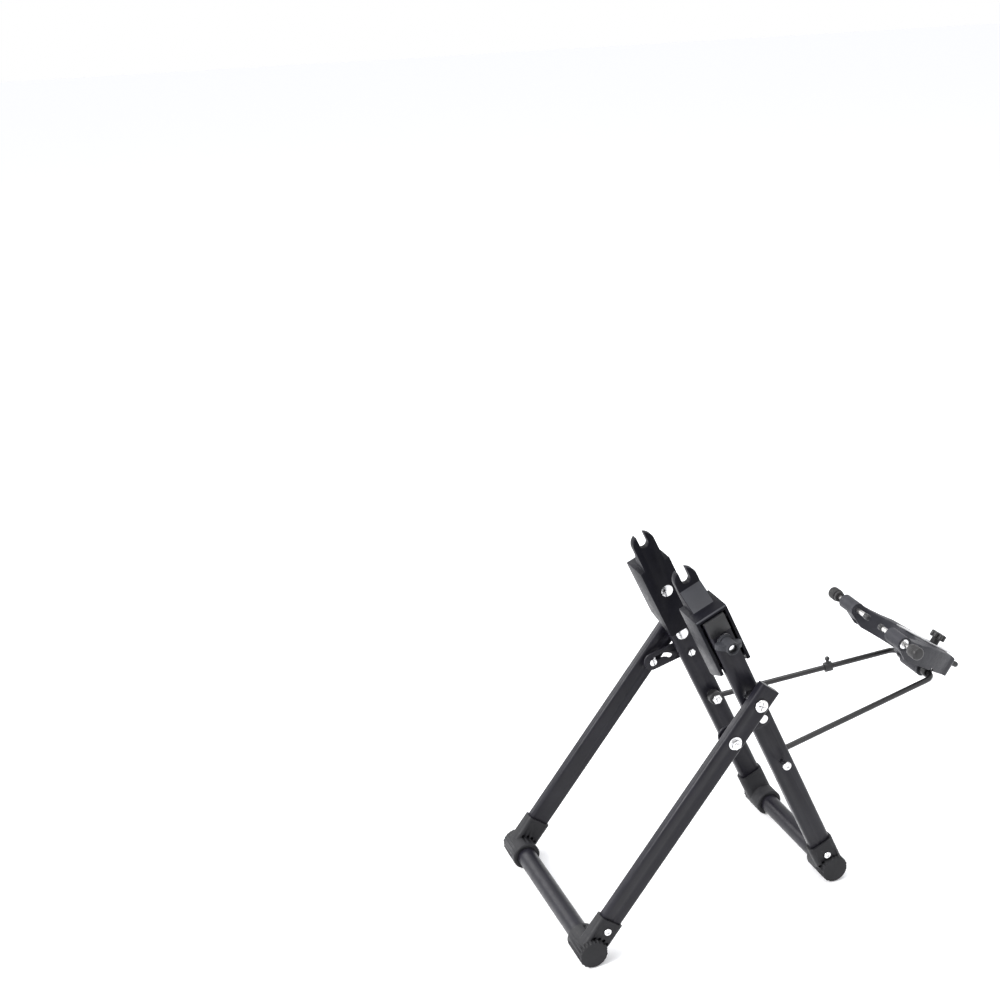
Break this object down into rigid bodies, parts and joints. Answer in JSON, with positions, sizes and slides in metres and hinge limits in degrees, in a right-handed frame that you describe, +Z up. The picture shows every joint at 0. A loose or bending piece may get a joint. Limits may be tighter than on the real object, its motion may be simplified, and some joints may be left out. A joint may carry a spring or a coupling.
{
  "type": "bicycle wheel truing stand",
  "caption": "Folding truing stand with two leaning uprights, hinged front frame, sliding axle holders and a feeler caliper on a swinging wire arm.",
  "frame": {"origin": "middle of the axle seat, on the axle line halfway between the two holders", "axes": "+Z up, +Y along the axle line, +X towards the caliper"},
  "size_m": [0.5498, 0.2524, 0.4104],
  "materials": {
    "tube_black": "black powder coat, semi-gloss",
    "link_black": "black powder coat, semi-gloss",
    "wire_black": "black plastic-dipped steel wire, satin",
    "zinc": "bright zinc plating",
    "rod_steel": "turned and polished steel",
    "gauge_steel": "pressed bright steel sheet",
    "plastic_black": "moulded black plastic, satin",
    "plastic_foot": "moulded black plastic, fine matte texture",
    "knob_plastic": "moulded black plastic, satin",
    "yoke_plastic": "moulded charcoal plastic, spark-eroded texture",
    "holder_plastic": "moulded charcoal plastic, spark-eroded texture",
    "wing_plastic": "moulded charcoal plastic, satin"
  },
  "bodies": {
    "rear_frame": {"upright_left": "tube_black", "upright_right": "tube_black", "upright_caps": "plastic_black", "rear_cross_tube": "tube_black", "rear_foot_left": "plastic_foot", "rear_foot_right": "plastic_foot", "rear_foot_screws": "zinc", "main_pivot_screws": "zinc", "pivot_spacers": "zinc", "link_pivot_bolts": "zinc", "knob_washers": "zinc", "arm_pivot_bolts": "zinc", "arm_pivot_washers": "zinc", "arm_pivot_nuts": "zinc"},
    "front_frame": {"leg_left": "tube_black", "leg_right": "tube_black", "leg_end_plugs": "plastic_black", "front_cross_tube": "tube_black", "front_foot_left": "plastic_foot", "front_foot_right": "plastic_foot", "front_foot_screws": "zinc", "slot_bolts": "zinc", "slot_spacers": "zinc", "slot_washers": "zinc", "slot_nuts": "zinc"},
    "link_left": {"lock_link_left": "link_black"},
    "link_right": {"lock_link_right": "link_black"},
    "arm": {"wire_arm": "wire_black", "arm_sleeves": "plastic_black", "arm_clip": "plastic_black"},
    "caliper": {"yoke": "yoke_plastic", "barrel_bushes": "zinc", "tail_screw": "plastic_black"},
    "feeler_left": {"feeler_rod_left": "rod_steel", "feeler_tip_left": "plastic_black", "feeler_knob_left": "knob_plastic"},
    "feeler_right": {"feeler_rod_right": "rod_steel", "feeler_tip_right": "plastic_black", "feeler_knob_right": "knob_plastic"},
    "gauge": {"gauge_plate": "gauge_steel"},
    "star": {"star_knob": "knob_plastic"},
    "holder_left": {"axle_holder_left": "holder_plastic", "clamp_screw_left": "zinc"},
    "holder_right": {"axle_holder_right": "holder_plastic", "clamp_screw_right": "zinc"},
    "wing_left": {"wing_knob_left": "wing_plastic"},
    "wing_right": {"wing_knob_right": "wing_plastic"}
  },
  "joints": [
    {"name": "fold", "type": "hinge", "parent": "rear_frame", "child": "front_frame", "pos_m": [0.05642, 0, -0.13357], "axis": [0, -1, 0], "range_deg": [0, 50]},
    {"name": "link_left_turn", "type": "hinge", "parent": "rear_frame", "child": "link_left", "pos_m": [0.06771, 0, -0.16029], "axis": [0, -1, 0], "range_deg": [0, 62.5]},
    {"name": "link_right_turn", "type": "hinge", "parent": "rear_frame", "child": "link_right", "pos_m": [0.06771, 0, -0.16029], "axis": [0, -1, 0], "range_deg": [0, 62.5]},
    {"name": "arm_swing", "type": "hinge", "parent": "rear_frame", "child": "arm", "pos_m": [0.09417, 0, -0.22293], "axis": [0, -1, 0], "range_deg": [-25, 60]},
    {"name": "caliper_tilt", "type": "hinge", "parent": "arm", "child": "caliper", "pos_m": [0.32403, 0, -0.19714], "axis": [0, -1, 0], "range_deg": [-25, 25]},
    {"name": "feeler_left_slide", "type": "slide", "parent": "caliper", "child": "feeler_left", "axis": [0, 1, 0], "range_m": [-0.015, 0.01]},
    {"name": "feeler_right_slide", "type": "slide", "parent": "caliper", "child": "feeler_right", "axis": [0, -1, 0], "range_m": [-0.015, 0.01]},
    {"name": "gauge_slide", "type": "slide", "parent": "caliper", "child": "gauge", "axis": [0.8192, 0, -0.5736], "range_m": [-0.01, 0.015]},
    {"name": "star_knob_turn", "type": "hinge", "parent": "caliper", "child": "star", "pos_m": [0.34407, 0, -0.18578], "axis": [0.5736, 0, 0.8192], "continuous": true},
    {"name": "holder_left_slide", "type": "slide", "parent": "rear_frame", "child": "holder_left", "axis": [0, -1, 0], "range_m": [0, 0.0175]},
    {"name": "holder_right_slide", "type": "slide", "parent": "rear_frame", "child": "holder_right", "axis": [0, 1, 0], "range_m": [0, 0.0175]},
    {"name": "wing_left_turn", "type": "hinge", "parent": "rear_frame", "child": "wing_left", "pos_m": [0.02607, 0, -0.06172], "axis": [0, 1, 0], "continuous": true},
    {"name": "wing_right_turn", "type": "hinge", "parent": "rear_frame", "child": "wing_right", "pos_m": [0.02607, 0, -0.06172], "axis": [0, 1, 0], "continuous": true}
  ],
  "couplings": [
    {"joint": "link_left_turn", "follows": "fold", "ratio": 1.25},
    {"joint": "link_right_turn", "follows": "fold", "ratio": 1.25}
  ]
}
